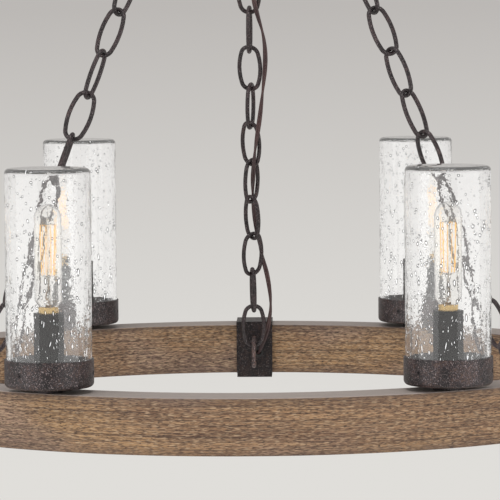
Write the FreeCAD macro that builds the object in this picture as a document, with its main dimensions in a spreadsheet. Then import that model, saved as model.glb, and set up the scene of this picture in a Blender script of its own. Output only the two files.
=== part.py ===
import FreeCAD, Part
import Sketcher
import math
import os

# Outdoor ring chandelier, in millimetres.
# The origin is on the ceiling, at the middle of the canopy. +Z is up and -Y is the front.
# Azimuths are measured from the front, towards +X.

os.makedirs("parts", exist_ok=True)
doc = FreeCAD.newDocument("chandelier")
Vector = FreeCAD.Vector
up = Vector(0, 0, 1)

# Driving dimensions
drivingSizes = [
    # ring
    ("ring_outer_diameter", 965.0),
    ("ring_width", 57.5),
    ("ring_height", 66.6),
    ("ring_edge_radius", 1.2),
    ("lamp_circle_inset", 19.5),
    ("groove_width", 12.0),
    ("groove_depth", 15.6),
    ("cover_width", 28.0),
    ("cover_thickness", 3.0),
    ("cover_clearance", 0.25),
    ("cover_screw_radius", 1.6),
    ("cover_screw_head_radius", 3.0),
    ("cover_screw_head_height", 1.6),
    ("cover_screw_length", 16.0),
    ("cover_screw_inset", 4.0),
    ("nut_recess_radius", 12.0),
    ("nut_recess_depth", 20.6),
    ("lead_hole_radius", 4.5),
    ("riser_hole_radius", 5.2),
    # shared clearances
    ("overrun", 2.0),
    ("slip_gap", 0.3),
    ("thread_gap", 0.05),
    # cups and what stands in them
    ("spacer_radius", 18.0),
    ("spacer_thickness", 6.0),
    ("cup_radius", 52.0),
    ("cup_height", 32.5),
    ("cup_wall", 1.5),
    ("cup_edge_radius", 5.5),
    ("set_screw_height", 17.0),
    ("set_screw_radius", 3.0),
    ("set_screw_recess", 0.4),
    ("set_screw_socket_radius", 1.5),
    ("set_screw_socket_depth", 0.8),
    ("gasket_thickness", 3.0),
    ("gasket_inner_radius", 41.0),
    ("shade_radius", 50.0),
    ("shade_wall", 4.5),
    ("shade_headroom", 36.7),
    ("shade_top_thickness", 5.0),
    ("shade_shoulder_radius", 6.0),
    ("shade_rim_radius", 1.5),
    ("socket_tube_radius", 17.5),
    ("socket_tube_wall", 1.0),
    ("socket_tube_height", 84.5),
    ("holder_boss_radius", 10.0),
    ("holder_boss_height", 42.5),
    ("holder_floor_height", 56.5),
    ("holder_top_inset", 0.4),
    ("holder_thread_depth", 16.5),
    ("holder_wire_radius", 3.0),
    # pipe thread parts
    ("pipe_radius", 5.0),
    ("pipe_bore_radius", 3.7),
    ("pipe_hole_clearance", 0.3),
    ("pipe_nut_flats", 14.0),
    ("pipe_nut_thickness", 5.0),
    ("pipe_reach_below_nut", 1.0),
    # bulb
    ("base_button_radius", 4.5),
    ("base_button_height", 3.7),
    ("base_cone_height", 3.3),
    ("base_thread_radius", 13.0),
    ("base_thread_height", 18.7),
    ("base_collar_radius", 11.7),
    ("base_collar_height", 8.7),
    ("base_collar_wall", 0.6),
    ("base_cup_depth", 14.0),
    ("bulb_radius", 16.0),
    ("bulb_wall", 0.9),
    ("bulb_neck_height", 15.0),
    ("bulb_taper_height", 5.5),
    ("bulb_height", 133.3),
    ("bulb_dome_flat", 0.5),
    ("stem_flare_thickness", 1.5),
    ("stem_flare_taper", 2.5),
    ("stem_radius", 4.0),
    ("stem_height", 42.0),
    ("stem_tip_taper", 4.0),
    ("support_rod_radius", 1.2),
    ("support_disc_radius", 9.9),
    ("support_disc_thickness", 0.8),
    ("filament_foot_height", 51.0),
    ("filament_length", 58.0),
    ("filament_radius", 0.4),
    ("filament_circle_radius", 9.3),
    ("support_tip_height", 12.0),
    # saddles and staples
    ("saddle_width", 49.5),
    ("saddle_thickness", 4.6),
    ("saddle_bar_thickness", 5.9),
    ("saddle_bar_inset", 0.7),
    ("staple_wire_radius", 3.0),
    ("staple_reach", 44.9),
    ("staple_top_drop", 18.0),
    ("staple_height", 35.0),
    ("staple_bend_radius", 8.0),
    ("lead_hole_offset", 14.0),
    ("lead_hole_drop", 38.0),
    ("grommet_neck_radius", 5.2),
    ("grommet_flange_radius", 6.5),
    ("grommet_flange_thickness", 1.4),
    # chains
    ("link_wire_radius", 2.75),
    ("link_width", 34.0),
    ("link_end_radius", 11.5),
    ("link_pitch_wanted", 55.7),
    ("link_seam", 1.2),
    ("gathering_ring_radius", 24.0),
    ("gathering_wire_radius", 4.0),
    ("gathering_height", 840.5),
    ("top_link_length", 67.0),
    # ceiling end
    ("ceiling_gasket_thickness", 2.0),
    ("ceiling_gasket_width", 6.0),
    ("canopy_radius", 65.0),
    ("canopy_height", 30.0),
    ("canopy_wall", 1.2),
    ("canopy_edge_radius", 8.0),
    ("crossbar_length", 108.0),
    ("crossbar_width", 22.0),
    ("crossbar_thickness", 3.0),
    ("box_screw_spacing", 88.9),
    ("box_screw_hole_radius", 2.4),
    ("canopy_pipe_length", 30.0),
    ("loop_stem_radius", 11.0),
    ("loop_stem_top_drop", 14.0),
    ("loop_stem_length", 34.0),
    ("loop_eye_radius", 16.0),
    ("loop_wire_radius", 3.0),
    ("collar_radius", 17.0),
    ("collar_height", 8.0),
    ("collar_edge", 1.0),
    # wires
    ("lead_radius", 3.2),
    ("wiring_radius", 2.5),
    ("riser_radius", 1.8),
]
lampCount = 6
setScrewsPerCup = 3
coverScrewCount = 12
filamentCount = 8

sheet = doc.addObject("Spreadsheet::Sheet", "Sizes")
for row, (alias, number) in enumerate(drivingSizes, start=1):
    sheet.set(f"A{row}", alias)
    sheet.set(f"B{row}", str(number))
    sheet.setAlias(f"B{row}", alias)
doc.recompute()


# A size keeps its number together with the sheet expression that gives it
class Size:
    def __init__(self, number, text):
        self.number = float(number)
        self.text = text

    def __float__(self):
        return self.number

    def joined(self, sign, other, number):
        otherText = other.text if isinstance(other, Size) else str(other)
        return Size(number, f"({self.text} {sign} {otherText})")

    def __add__(self, other):
        return self.joined("+", other, self.number + float(other))

    def __sub__(self, other):
        return self.joined("-", other, self.number - float(other))

    def __mul__(self, other):
        return self.joined("*", other, self.number * float(other))

    def __truediv__(self, other):
        return self.joined("/", other, self.number / float(other))

    def __neg__(self):
        return Size(-self.number, f"(0 - {self.text})")

    def root(self):
        return Size(math.sqrt(self.number), f"sqrt({self.text})")


zero = Size(0, "0")


def size(alias):
    return Size(sheet.get(alias), f"Sizes.{alias}")


def bind(item, prop, value):
    item.setExpression(prop, value.text)


# Sketches and body features
def newSketch(body, role, lift=None):
    sketch = body.newObject("Sketcher::SketchObject", body.Name + "_sketch")
    plane = next(f for f in body.Origin.OriginFeatures if f.Role == role)
    sketch.AttachmentSupport = (plane, [""])
    sketch.MapMode = "FlatFace"
    if lift is not None:
        bind(sketch, "AttachmentOffset.Base.z", lift)
    return sketch


def pin(sketch, curve, spot, x, y):
    for kind, value, axis in (("DistanceX", x, -2), ("DistanceY", y, -1)):
        if value is zero:
            sketch.addConstraint(Sketcher.Constraint("PointOnObject", curve, spot, axis))
        else:
            index = sketch.addConstraint(Sketcher.Constraint(kind, -1, 1, curve, spot, value.number))
            bind(sketch, f"Constraints[{index}]", value)


def drawOutline(sketch, corners):
    first = sketch.GeometryCount
    count = len(corners)
    spots = [Vector(x.number, y.number, 0) for x, y in corners]
    for i in range(count):
        sketch.addGeometry(Part.LineSegment(spots[i], spots[(i + 1) % count]))
    for i in range(count):
        follower = first + (i + 1) % count
        sketch.addConstraint(Sketcher.Constraint("Coincident", first + i, 2, follower, 1))
    for i, (x, y) in enumerate(corners):
        pin(sketch, first + i, 1, x, y)


def drawCircle(sketch, x, y, radius):
    curve = sketch.addGeometry(Part.Circle(Vector(x.number, y.number, 0), up, radius.number))
    pin(sketch, curve, 3, x, y)
    index = sketch.addConstraint(Sketcher.Constraint("Radius", curve, radius.number))
    bind(sketch, f"Constraints[{index}]", radius)


def newBody(label):
    body = doc.addObject("PartDesign::Body", label)
    body.Label = label
    return body


def spin(body, corners):
    sketch = newSketch(body, "XZ_Plane")
    drawOutline(sketch, corners)
    feature = body.newObject("PartDesign::Revolution", body.Name + "_turned")
    feature.Profile = sketch
    feature.ReferenceAxis = (sketch, ["V_Axis"])
    feature.Angle = 360
    doc.recompute()
    return body


def roundEdge(body, radius, height, fillet):
    # rounds the circular edge of that radius at that height
    tip = body.Tip
    near = float(size("thread_gap"))
    edges = []
    for number, edge in enumerate(tip.Shape.Edges, start=1):
        curve = edge.Curve
        if curve.TypeId == "Part::GeomCircle":
            offRadius = abs(curve.Radius - float(radius))
            offHeight = abs(curve.Center.z - float(height))
            if offRadius < near and offHeight < near:
                edges.append(f"Edge{number}")
    feature = body.newObject("PartDesign::Fillet", body.Name + "_round")
    feature.Base = (tip, edges)
    bind(feature, "Radius", fillet)
    doc.recompute()


def takeAway(body, sketch, depth, count=1, backwards=True, bothWays=False):
    # pockets a sketch, repeats it round the vertical axis, and makes sure that it cut
    before = body.Shape.Volume
    feature = body.newObject("PartDesign::Pocket", body.Name + "_cut")
    feature.Profile = sketch
    feature.Type = 0
    feature.Reversed = backwards
    feature.Midplane = bothWays
    bind(feature, "Length", depth)
    doc.recompute()
    if count > 1:
        pattern = body.newObject("PartDesign::PolarPattern", body.Name + "_round_copies")
        pattern.Originals = [feature]
        zAxis = next(f for f in body.Origin.OriginFeatures if f.Role == "Z_Axis")
        pattern.Axis = (zAxis, [""])
        pattern.Angle = 360
        pattern.Occurrences = count
        body.Tip = pattern
        doc.recompute()
    if body.Shape.Volume >= before:
        raise RuntimeError(f"{body.Label}: a pocket cut nothing")


def addPad(body, sketch, length, bothWays=False):
    feature = body.newObject("PartDesign::Pad", body.Name + "_pad")
    feature.Profile = sketch
    feature.Type = 0
    feature.Midplane = bothWays
    bind(feature, "Length", length)
    doc.recompute()
    return feature


# Placing and grouping
def lift(height):
    return FreeCAD.Placement(Vector(0, 0, float(height)), FreeCAD.Rotation())


def atAzimuth(azimuth, radius, height, turn=0):
    # a place at that azimuth, with the local +X pointing outwards from the axis of the ring
    angle = math.radians(azimuth)
    spot = Vector(float(radius) * math.sin(angle), -float(radius) * math.cos(angle), float(height))
    return FreeCAD.Placement(spot, FreeCAD.Rotation(up, azimuth - 90 + turn))


subParts = []


def keep(item, place=None):
    if place is not None:
        item.Placement = place
    subParts.append(item)
    return item


def keepCopies(label, shape, places):
    # one node that holds the same piece at several places
    solids = []
    for place in places:
        copy = shape.copy()
        copy.Placement = place.multiply(shape.Placement)
        solids.append(copy)
    feature = doc.addObject("Part::Feature", label)
    feature.Label = label
    feature.Shape = Part.makeCompound(solids)
    return keep(feature)


def primitive(kind, label, place=None, **sizes):
    item = doc.addObject(kind, label)
    item.Label = label
    for prop, value in sizes.items():
        bind(item, prop, value)
    if place is not None:
        for axis, value in zip("xyz", place):
            if value is not zero:
                bind(item, f"Placement.Base.{axis}", value)
    return item


def boolean(kind, label, base, tool):
    item = doc.addObject(kind, label)
    item.Label = label
    item.Base = base
    item.Tool = tool
    doc.recompute()
    return item


def bentWire(points, radii):
    # straight runs with an arc of each radius tangent to the runs at each inner point
    edges = []
    start = points[0]
    for before, corner, after, radius in zip(points, points[1:], points[2:], radii):
        incoming = (corner - before).normalize()
        outgoing = (after - corner).normalize()
        half = incoming.getAngle(outgoing) / 2
        inset = radius * math.tan(half)
        first = corner - incoming * inset
        last = corner + outgoing * inset
        inward = (outgoing - incoming).normalize()
        middle = corner + inward * (radius / math.cos(half) - radius)
        edges.append(Part.LineSegment(start, first).toShape())
        edges.append(Part.Arc(first, middle, last).toShape())
        start = last
    edges.append(Part.LineSegment(start, points[-1]).toShape())
    return Part.Wire(edges)


def sweepRound(path, start, direction, radius):
    section = Part.Wire(Part.Circle(start, direction, float(radius)).toShape())
    return path.makePipeShell([section], True, False)


def solidOf(shape):
    return shape.Solids[0] if shape.ShapeType != "Solid" else shape


# Derived heights, all measured down from the ceiling or up from the ring's top
stemBottom = -(size("loop_stem_top_drop") + size("loop_stem_length"))
eyeCentre = stemBottom - size("loop_eye_radius")
eyeBottom = eyeCentre - size("loop_eye_radius")
topLinkTop = eyeBottom + size("loop_wire_radius") + size("link_wire_radius") + size("slip_gap")
topLinkRun = size("top_link_length") - size("link_wire_radius") * 2
topLinkBottom = topLinkTop - topLinkRun
gatheringTop = topLinkBottom + size("link_wire_radius") + size("gathering_wire_radius") + size("slip_gap")
gatheringCentre = gatheringTop - size("gathering_ring_radius")
gatheringBottom = gatheringCentre - size("gathering_ring_radius")
ringTop = gatheringBottom - size("gathering_height")
ringBottom = ringTop - size("ring_height")
ringOuter = size("ring_outer_diameter") / 2
ringInner = ringOuter - size("ring_width")
lampCircle = ringOuter - size("lamp_circle_inset")
cupBottom = ringTop + size("spacer_thickness")
cupFloor = cupBottom + size("cup_wall")
glassBottom = cupFloor + size("gasket_thickness") + size("slip_gap")
holderFloor = cupFloor + size("holder_floor_height")
baseBottom = holderFloor + size("slip_gap")
baseCupFloor = baseBottom + size("base_button_height") + size("base_cone_height") + size("base_thread_height")
baseTop = baseCupFloor + size("base_collar_height")
baseInnerFloor = baseTop - size("base_cup_depth")
bulbBottom = baseInnerFloor + size("slip_gap")
pipeBottom = ringBottom + size("nut_recess_depth") - size("pipe_nut_thickness") - size("pipe_reach_below_nut")
pipeTop = cupFloor + size("holder_thread_depth") - size("slip_gap")
bulbTop = bulbBottom + size("bulb_height")
shadeHeight = bulbTop + size("shade_headroom") + size("shade_top_thickness") - glassBottom
wiringHeight = ringBottom + size("cover_thickness") + size("wiring_radius") + size("slip_gap")

lampAzimuths = [30 + 360 / lampCount * i for i in range(lampCount)]
cupTurns = [46, 112, 60, 112, 52, 112]
saddleAzimuths = {"right": 60, "back": 178.9, "left": -60}


# Ring
def makeRingBody():
    body = newBody("ring_body")
    halfCover = size("cover_width") / 2
    halfGroove = size("groove_width") / 2
    grooveTop = size("groove_depth")
    cover = size("cover_thickness")
    tall = size("ring_height")
    spin(body, [
        (ringInner, zero),
        (lampCircle - halfCover, zero),
        (lampCircle - halfCover, cover),
        (lampCircle - halfGroove, cover),
        (lampCircle - halfGroove, grooveTop),
        (lampCircle + halfGroove, grooveTop),
        (lampCircle + halfGroove, cover),
        (lampCircle + halfCover, cover),
        (lampCircle + halfCover, zero),
        (ringOuter, zero),
        (ringOuter, tall),
        (ringInner, tall),
    ])
    for radius, height in ((ringInner, zero), (ringOuter, zero), (ringInner, tall), (ringOuter, tall)):
        roundEdge(body, radius, height, size("ring_edge_radius"))
    pipeHole = newSketch(body, "XY_Plane")
    drawCircle(pipeHole, lampCircle, zero, size("pipe_radius") + size("pipe_hole_clearance"))
    takeAway(body, pipeHole, tall + size("overrun"), count=lampCount)
    recess = newSketch(body, "XY_Plane")
    drawCircle(recess, lampCircle, zero, size("nut_recess_radius"))
    takeAway(body, recess, size("nut_recess_depth"), count=lampCount)
    pilot = newSketch(body, "XY_Plane")
    x, y = coverScrewSpot()
    drawCircle(pilot, x, y, size("cover_screw_radius") + size("thread_gap"))
    takeAway(body, pilot, size("cover_screw_length") + size("overrun"), count=coverScrewCount)
    leadHeight = tall - size("lead_hole_drop")
    leadHole = newSketch(body, "XZ_Plane")
    drawCircle(leadHole, size("lead_hole_offset"), leadHeight, size("lead_hole_radius"))
    takeAway(body, leadHole, lampCircle, backwards=False)
    riserHole = newSketch(body, "XY_Plane")
    drawCircle(riserHole, size("lead_hole_offset"), lampCircle, size("riser_hole_radius"))
    takeAway(body, riserHole, leadHeight + size("riser_hole_radius"))
    return keep(body, lift(ringBottom))


def coverScrewSpot():
    # the first cover screw, half a step round from a lamp
    angle = math.radians(360 / coverScrewCount / 2)
    radius = lampCircle - size("cover_width") / 2 + size("cover_screw_inset")
    return radius * math.cos(angle), radius * math.sin(angle)


def makeChannelCover():
    body = newBody("channel_cover")
    inner = lampCircle - size("cover_width") / 2 + size("cover_clearance")
    outer = lampCircle + size("cover_width") / 2 - size("cover_clearance")
    spin(body, [(inner, zero), (outer, zero), (outer, size("cover_thickness")), (inner, size("cover_thickness"))])
    hole = newSketch(body, "XY_Plane")
    x, y = coverScrewSpot()
    drawCircle(hole, x, y, size("cover_screw_radius") + size("slip_gap"))
    takeAway(body, hole, size("cover_thickness") + size("overrun"), count=coverScrewCount)
    return keep(body, lift(ringBottom))


def makeCoverScrews():
    body = newBody("cover_screw")
    shank = size("cover_screw_radius")
    head = size("cover_screw_head_radius")
    tall = size("cover_screw_head_height")
    top = tall + size("cover_screw_length")
    spin(body, [(zero, zero), (head, zero), (head, tall), (shank, tall), (shank, top), (zero, top)])
    x, y = coverScrewSpot()
    places = []
    for i in range(coverScrewCount):
        turn = FreeCAD.Placement(Vector(0, 0, 0), FreeCAD.Rotation(up, 360 / coverScrewCount * i))
        place = FreeCAD.Placement(Vector(float(x), float(y), float(ringBottom - tall)), FreeCAD.Rotation())
        places.append(turn.multiply(place))
    return keepCopies("cover_screws", body.Shape, places)


# Cups, shades and lampholders
def makeCup(number, azimuth, turn):
    body = newBody(f"shade_cup_{number}")
    bore = size("pipe_radius") + size("pipe_hole_clearance")
    radius = size("cup_radius")
    wall = size("cup_wall")
    tall = size("cup_height")
    spin(body, [(bore, zero), (radius, zero), (radius, tall), (radius - wall, tall), (radius - wall, wall), (bore, wall)])
    roundEdge(body, radius, zero, size("cup_edge_radius"))
    roundEdge(body, radius - wall, wall, size("cup_edge_radius") - wall)
    hole = newSketch(body, "YZ_Plane")
    drawCircle(hole, zero, size("set_screw_height"), size("set_screw_radius"))
    takeAway(body, hole, radius + size("overrun"), count=setScrewsPerCup)
    return keep(body, atAzimuth(azimuth, lampCircle, cupBottom, turn))


def makeShadeGlass(number, azimuth):
    body = newBody(f"shade_glass_{number}")
    radius = size("shade_radius")
    inner = radius - size("shade_wall")
    tall = shadeHeight
    ceiling = tall - size("shade_top_thickness")
    spin(body, [(inner, zero), (radius, zero), (radius, tall), (zero, tall), (zero, ceiling), (inner, ceiling)])
    roundEdge(body, radius, tall, size("shade_shoulder_radius"))
    roundEdge(body, inner, ceiling, size("shade_shoulder_radius") - size("shade_wall"))
    for edge in (inner, radius):
        roundEdge(body, edge, zero, size("shade_rim_radius"))
    return keep(body, atAzimuth(azimuth, lampCircle, glassBottom))


def makeBulbBase(number, azimuth):
    body = newBody(f"bulb_base_{number}")
    button = size("base_button_height")
    cone = button + size("base_cone_height")
    thread = cone + size("base_thread_height")
    top = thread + size("base_collar_height")
    collar = size("base_collar_radius")
    inner = collar - size("base_collar_wall")
    floor = top - size("base_cup_depth")
    spin(body, [
        (zero, zero),
        (size("base_button_radius"), zero),
        (size("base_button_radius"), button),
        (size("base_thread_radius"), cone),
        (size("base_thread_radius"), thread),
        (collar, thread),
        (collar, top),
        (inner, top),
        (inner, floor),
        (zero, floor),
    ])
    return keep(body, atAzimuth(azimuth, lampCircle, baseBottom))


def makeBulbGlass(number, azimuth):
    body = newBody(f"bulb_glass_{number}")
    neck = size("base_collar_radius") - size("base_collar_wall") - size("slip_gap")
    radius = size("bulb_radius")
    wall = size("bulb_wall")
    taperBottom = size("bulb_neck_height")
    taperTop = taperBottom + size("bulb_taper_height")
    tall = size("bulb_height")
    spin(body, [
        (neck - wall, zero),
        (neck, zero),
        (neck, taperBottom),
        (radius, taperTop),
        (radius, tall),
        (zero, tall),
        (zero, tall - wall),
        (radius - wall, tall - wall),
        (radius - wall, taperTop),
        (neck - wall, taperBottom),
    ])
    roundEdge(body, radius, tall, radius - size("bulb_dome_flat"))
    roundEdge(body, radius - wall, tall - wall, radius - wall - size("bulb_dome_flat"))
    return keep(body, atAzimuth(azimuth, lampCircle, bulbBottom))


def makeBulbFilament(number, azimuth):
    body = newBody(f"bulb_filament_{number}")
    neck = size("base_collar_radius") - size("base_collar_wall") - size("slip_gap")
    flare = neck - size("bulb_wall") - size("slip_gap")
    flareTop = size("stem_flare_thickness")
    stemFoot = flareTop + size("stem_flare_taper")
    stemTop = size("stem_height")
    tip = stemTop + size("stem_tip_taper")
    rod = size("support_rod_radius")
    disc = size("support_disc_radius")
    thick = size("support_disc_thickness")
    foot = size("filament_foot_height")
    head = foot + size("filament_length")
    spin(body, [
        (zero, zero),
        (flare, zero),
        (flare, flareTop),
        (size("stem_radius"), stemFoot),
        (size("stem_radius"), stemTop),
        (rod, tip),
        (rod, foot),
        (disc, foot),
        (disc, foot + thick),
        (rod, foot + thick),
        (rod, head),
        (disc, head),
        (disc, head + thick),
        (rod, head + thick),
        (rod, head + size("support_tip_height")),
        (zero, head + size("support_tip_height")),
    ])
    wire = newSketch(body, "XY_Plane", lift=foot + thick / 2)
    drawCircle(wire, size("filament_circle_radius"), zero, size("filament_radius"))
    pad = addPad(body, wire, size("filament_length"))
    pattern = body.newObject("PartDesign::PolarPattern", body.Name + "_wires")
    pattern.Originals = [pad]
    pattern.Axis = (next(f for f in body.Origin.OriginFeatures if f.Role == "Z_Axis"), [""])
    pattern.Angle = 360
    pattern.Occurrences = filamentCount
    body.Tip = pattern
    doc.recompute()
    return keep(body, atAzimuth(azimuth, lampCircle, bulbBottom))


def makeCupSpacers():
    body = newBody("cup_spacer")
    bore = size("pipe_radius") + size("pipe_hole_clearance")
    tall = size("spacer_thickness")
    spin(body, [(bore, zero), (size("spacer_radius"), zero), (size("spacer_radius"), tall), (bore, tall)])
    return keepCopies("cup_spacers", body.Shape, [atAzimuth(a, lampCircle, ringTop) for a in lampAzimuths])


def makeGlassGaskets():
    body = newBody("glass_gasket")
    inner = size("gasket_inner_radius")
    foot = size("cup_radius") - size("cup_edge_radius") - size("slip_gap")
    outer = size("shade_radius") - size("slip_gap")
    tall = size("gasket_thickness")
    spin(body, [(inner, zero), (foot, zero), (outer, tall - size("slip_gap")), (outer, tall), (inner, tall)])
    return keepCopies("glass_gaskets", body.Shape, [atAzimuth(a, lampCircle, cupFloor) for a in lampAzimuths])


def makeSocketTubes():
    body = newBody("socket_tube")
    outer = size("socket_tube_radius")
    inner = outer - size("socket_tube_wall")
    tall = size("socket_tube_height")
    spin(body, [(inner, zero), (outer, zero), (outer, tall), (inner, tall)])
    return keepCopies("socket_tubes", body.Shape, [atAzimuth(a, lampCircle, cupFloor) for a in lampAzimuths])


def makeLampholders():
    body = newBody("lampholder")
    outer = size("socket_tube_radius") - size("socket_tube_wall") - size("slip_gap")
    bore = size("base_thread_radius") + size("slip_gap")
    thread = size("pipe_radius") + size("thread_gap")
    wire = size("holder_wire_radius")
    tall = size("socket_tube_height") - size("holder_top_inset")
    spin(body, [
        (thread, zero),
        (size("holder_boss_radius"), zero),
        (size("holder_boss_radius"), size("holder_boss_height")),
        (outer, size("holder_boss_height")),
        (outer, tall),
        (bore, tall),
        (bore, size("holder_floor_height")),
        (wire, size("holder_floor_height")),
        (wire, size("holder_thread_depth")),
        (thread, size("holder_thread_depth")),
    ])
    return keepCopies("lampholders", body.Shape, [atAzimuth(a, lampCircle, cupFloor) for a in lampAzimuths])


def makeSetScrews():
    reach = size("cup_radius") - size("set_screw_recess")
    tip = size("shade_radius") + size("slip_gap")
    body = newBody("cup_set_screw")
    radius = size("set_screw_radius") - size("thread_gap")
    long = reach - tip
    socket = size("set_screw_socket_radius")
    floor = long - size("set_screw_socket_depth")
    spin(body, [(zero, zero), (radius, zero), (radius, long), (socket, long), (socket, floor), (zero, floor)])
    outward = FreeCAD.Placement(
        Vector(float(tip), 0, float(size("set_screw_height"))), FreeCAD.Rotation(Vector(0, 1, 0), 90)
    )
    places = []
    for azimuth, turn in zip(lampAzimuths, cupTurns):
        for i in range(setScrewsPerCup):
            cup = atAzimuth(azimuth, lampCircle, cupBottom, turn + 360 / setScrewsPerCup * i)
            places.append(cup.multiply(outward))
    return keepCopies("cup_set_screws", body.Shape, places)


def makeSocketNipples():
    body = newBody("socket_nipple")
    outer = size("pipe_radius")
    bore = size("pipe_bore_radius")
    long = pipeTop - pipeBottom
    spin(body, [(bore, zero), (outer, zero), (outer, long), (bore, long)])
    return keepCopies("socket_nipples", body.Shape, [atAzimuth(a, lampCircle, pipeBottom) for a in lampAzimuths])


# A hexagon's corner radius for each millimetre across its flats
hexagonCornerShare = 1 / math.sqrt(3)


def pipeNut(label):
    corner = size("pipe_nut_flats") * hexagonCornerShare
    prism = primitive("Part::Prism", label + "_hexagon", Circumradius=corner, Height=size("pipe_nut_thickness"))
    bore = primitive(
        "Part::Cylinder", label + "_thread", (zero, zero, -size("overrun")),
        Radius=size("pipe_radius") + size("thread_gap"),
        Height=size("pipe_nut_thickness") + size("overrun") * 2,
    )
    return boolean("Part::Cut", label, prism, bore)


def makeSocketNuts():
    nut = pipeNut("socket_nut")
    height = ringBottom + size("nut_recess_depth") - size("pipe_nut_thickness")
    return keepCopies("socket_nuts", nut.Shape, [atAzimuth(a, lampCircle, height) for a in lampAzimuths])


# Saddles and staples, with the local +X outwards and zero height at the underside of the saddle
saddleSeat = (
    (ringInner - size("slip_gap")) * (ringInner - size("slip_gap"))
    - size("saddle_width") * size("saddle_width") / 4
).root()
saddleInner = saddleSeat - size("saddle_thickness")
saddleOuterSeat = ringOuter + size("slip_gap")
saddleOuter = saddleOuterSeat + size("saddle_thickness")
saddleBottom = ringBottom - size("saddle_bar_thickness")
barCentre = saddleInner - size("staple_reach")


def makeSaddle(side, azimuth):
    body = newBody(f"chain_saddle_{side}")
    foot = size("saddle_bar_thickness")
    under = foot + size("ring_height")
    top = under + size("saddle_thickness")
    strap = newSketch(body, "XZ_Plane")
    drawOutline(strap, [
        (saddleInner, foot),
        (saddleSeat, foot),
        (saddleSeat, under),
        (saddleOuterSeat, under),
        (saddleOuterSeat, foot),
        (saddleOuter, foot),
        (saddleOuter, top),
        (saddleInner, top),
    ])
    addPad(body, strap, size("saddle_width"), bothWays=True)
    bar = newSketch(body, "XZ_Plane")
    drawOutline(bar, [(saddleInner, zero), (saddleOuter, zero), (saddleOuter, foot), (saddleInner, foot)])
    addPad(body, bar, size("saddle_width") - size("saddle_bar_inset") * 2, bothWays=True)
    if side == "back":
        hole = newSketch(body, "YZ_Plane")
        drawCircle(hole, backHoleOffset(), under - size("lead_hole_drop"), grommetHole())
        takeAway(body, hole, saddleSeat + size("overrun"))
    return keep(body, atAzimuth(azimuth, zero, saddleBottom))


def grommetHole():
    return size("grommet_neck_radius") + size("thread_gap")


def backHoleOffset():
    # sideways place of the lead hole on the back saddle, which stands a little off the middle
    lean = math.radians(180 - saddleAzimuths["back"])
    return saddleInner * math.sin(lean) - size("lead_hole_offset")


def makeStaples():
    reach = float(saddleInner)
    bar = float(barCentre)
    high = float(ringTop - size("staple_top_drop"))
    low = high - float(size("staple_height"))
    bend = float(size("staple_bend_radius"))
    corners = [Vector(reach, 0, high), Vector(bar, 0, high), Vector(bar, 0, low), Vector(reach, 0, low)]
    path = bentWire(corners, [bend, bend])
    staple = sweepRound(path, corners[0], Vector(-1, 0, 0), size("staple_wire_radius"))
    return keepCopies("chain_staples", solidOf(staple), [atAzimuth(a, zero, zero) for a in saddleAzimuths.values()])


# Chains
def hookPoint(azimuth):
    # centre of the bend in the staple's upper corner, where the last link hangs
    radius = barCentre + size("staple_bend_radius")
    height = ringTop - size("staple_top_drop") - size("staple_bend_radius")
    return atAzimuth(azimuth, radius, height).Base


def gatheringPoint(side):
    # where a chain's first link bears on the gathering ring, and the direction of the wire there
    lean = {"right": 1, "back": 0, "left": -1}[side]
    span = float(gatheringBottom - ringTop + size("staple_top_drop"))
    reach = float(barCentre + size("staple_bend_radius"))
    angle = lean * math.atan(reach * math.sin(math.radians(saddleAzimuths["right"])) / span)
    radius = float(size("gathering_ring_radius"))
    spot = Vector(radius * math.sin(angle), 0, float(gatheringCentre) - radius * math.cos(angle))
    return spot, Vector(math.cos(angle), 0, math.sin(angle))


def chainLine(side):
    # bow centres of the last and the first link, and the direction up the chain
    hook = hookPoint(saddleAzimuths[side])
    hang, wire = gatheringPoint(side)
    direction = (hang - hook).normalize()
    inside = size("staple_bend_radius") - size("staple_wire_radius") - size("link_wire_radius") - size("slip_gap")
    above = size("gathering_wire_radius") + size("link_wire_radius") + size("slip_gap")
    return hook + direction * float(inside), hang + direction * float(above), direction, wire


# an odd number of links brings the first one round to the same way as the last
bowOverlap = float(size("link_wire_radius") * 2 + size("slip_gap"))
linkCount = 0
linkRun = 0
for side in saddleAzimuths:
    low, high, direction, wire = chainLine(side)
    run = low.distanceToPoint(high) - bowOverlap
    linkCount = linkCount or 2 * round((run / float(size("link_pitch_wanted")) - 1) / 2) + 1
    linkRun = max(linkRun, run / linkCount + bowOverlap)


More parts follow.
